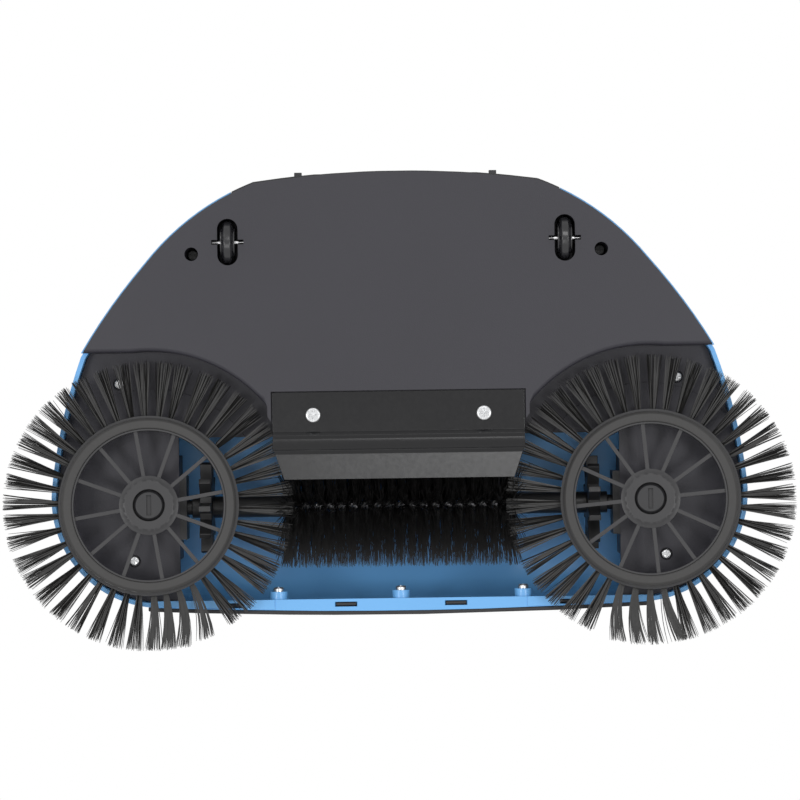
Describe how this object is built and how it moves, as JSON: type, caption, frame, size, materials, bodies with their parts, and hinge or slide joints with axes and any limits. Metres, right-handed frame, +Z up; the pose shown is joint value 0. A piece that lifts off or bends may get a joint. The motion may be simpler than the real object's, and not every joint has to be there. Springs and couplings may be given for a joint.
{
  "type": "walk behind sweeper",
  "caption": "Push sweeper with two toothed-spoke side brush discs, a twisted-wire roller brush, dust tray and lid, rear wheels and a folding upright handle.",
  "frame": {"origin": "on the floor under the middle of the whole object", "axes": "+Z up, -Y towards the front, +X towards the operator's left"},
  "size_m": [0.4218, 0.2542, 1.035],
  "materials": {
    "base_plastic": "fine texture",
    "shell_plastic": "smooth semi gloss",
    "bumper_plastic": "soft black strip",
    "lid_plastic": "smooth black",
    "scraper_plastic": "high gloss",
    "screw_zinc": "bright zinc",
    "screw_black": "black coated",
    "disc_plastic": "satin",
    "ring_rubber": "smooth matte rubber",
    "cap_plastic": "satin",
    "tuft_bristle": "stiff nylon bristles",
    "roller_bristle": "soft nylon bristles",
    "core_wire": "twisted galvanised wire",
    "gear_plastic": "satin",
    "wheel_plastic": "smooth",
    "pin_steel": "bright steel",
    "bail_steel": "bright plated rod",
    "tube_steel": "silver paint",
    "fitting_plastic": "satin",
    "grip_foam": "soft foam"
  },
  "bodies": {
    "chassis": {"base_pan": "base_plastic", "top_shell": "shell_plastic", "front_bumper": "bumper_plastic", "scraper_blade": "scraper_plastic", "scraper_screws": "screw_zinc", "front_screws": "screw_zinc", "lobe_screws": "screw_zinc", "rear_screws": "screw_black", "left_disc_post": "base_plastic", "right_disc_post": "base_plastic", "left_disc_cap": "cap_plastic", "right_disc_cap": "cap_plastic", "left_roller_bush": "gear_plastic", "right_roller_bush": "gear_plastic", "left_wheel_pin": "pin_steel", "right_wheel_pin": "pin_steel", "left_lid_pin": "pin_steel", "right_lid_pin": "pin_steel", "left_pivot_bracket": "fitting_plastic", "right_pivot_bracket": "fitting_plastic", "left_pivot_pin": "pin_steel", "right_pivot_pin": "pin_steel"},
    "roller": {"roller_wire_core": "core_wire", "roller_bristles": "roller_bristle", "left_drive_gear": "gear_plastic", "right_drive_gear": "gear_plastic"},
    "left_disc": {"left_brush_disc": "disc_plastic", "left_friction_ring": "ring_rubber", "left_disc_tufts": "tuft_bristle"},
    "right_disc": {"right_brush_disc": "disc_plastic", "right_friction_ring": "ring_rubber", "right_disc_tufts": "tuft_bristle"},
    "left_wheel": {"left_rear_wheel": "wheel_plastic"},
    "right_wheel": {"right_rear_wheel": "wheel_plastic"},
    "lid": {"dust_lid": "lid_plastic"},
    "handle": {"handle_bail": "bail_steel", "lower_tube": "tube_steel", "middle_tube": "tube_steel", "upper_tube": "tube_steel", "lower_coupling": "fitting_plastic", "upper_coupling": "fitting_plastic", "handle_grip": "grip_foam", "hanger_cap": "fitting_plastic"}
  },
  "joints": [
    {"name": "roller_spin", "type": "hinge", "parent": "chassis", "child": "roller", "pos_m": [0, -0.0526, 0.0345], "axis": [1, 0, 0], "continuous": true},
    {"name": "left_disc_spin", "type": "hinge", "parent": "chassis", "child": "left_disc", "pos_m": [0.1338, -0.05, 0.00487], "axis": [0.0739, -0.0739, 0.9945], "continuous": true},
    {"name": "right_disc_spin", "type": "hinge", "parent": "chassis", "child": "right_disc", "pos_m": [-0.1338, -0.05, 0.00487], "axis": [-0.0739, -0.0739, 0.9945], "continuous": true},
    {"name": "left_wheel_spin", "type": "hinge", "parent": "chassis", "child": "left_wheel", "pos_m": [0.09, 0.0897, 0.0115], "axis": [1, 0, 0], "continuous": true},
    {"name": "right_wheel_spin", "type": "hinge", "parent": "chassis", "child": "right_wheel", "pos_m": [-0.09, 0.0897, 0.0115], "axis": [1, 0, 0], "continuous": true},
    {"name": "lid_hinge", "type": "hinge", "parent": "chassis", "child": "lid", "pos_m": [0, 0.062, 0.0846], "axis": [1, 0, 0], "range_deg": [0, 75]},
    {"name": "handle_pitch", "type": "hinge", "parent": "chassis", "child": "handle", "pos_m": [0, 0.002, 0.094], "axis": [-1, 0, 0], "range_deg": [0, 75]}
  ],
  "couplings": [
    {"joint": "left_disc_spin", "follows": "roller_spin", "ratio": -0.83333},
    {"joint": "right_disc_spin", "follows": "roller_spin", "ratio": 0.83333}
  ]
}
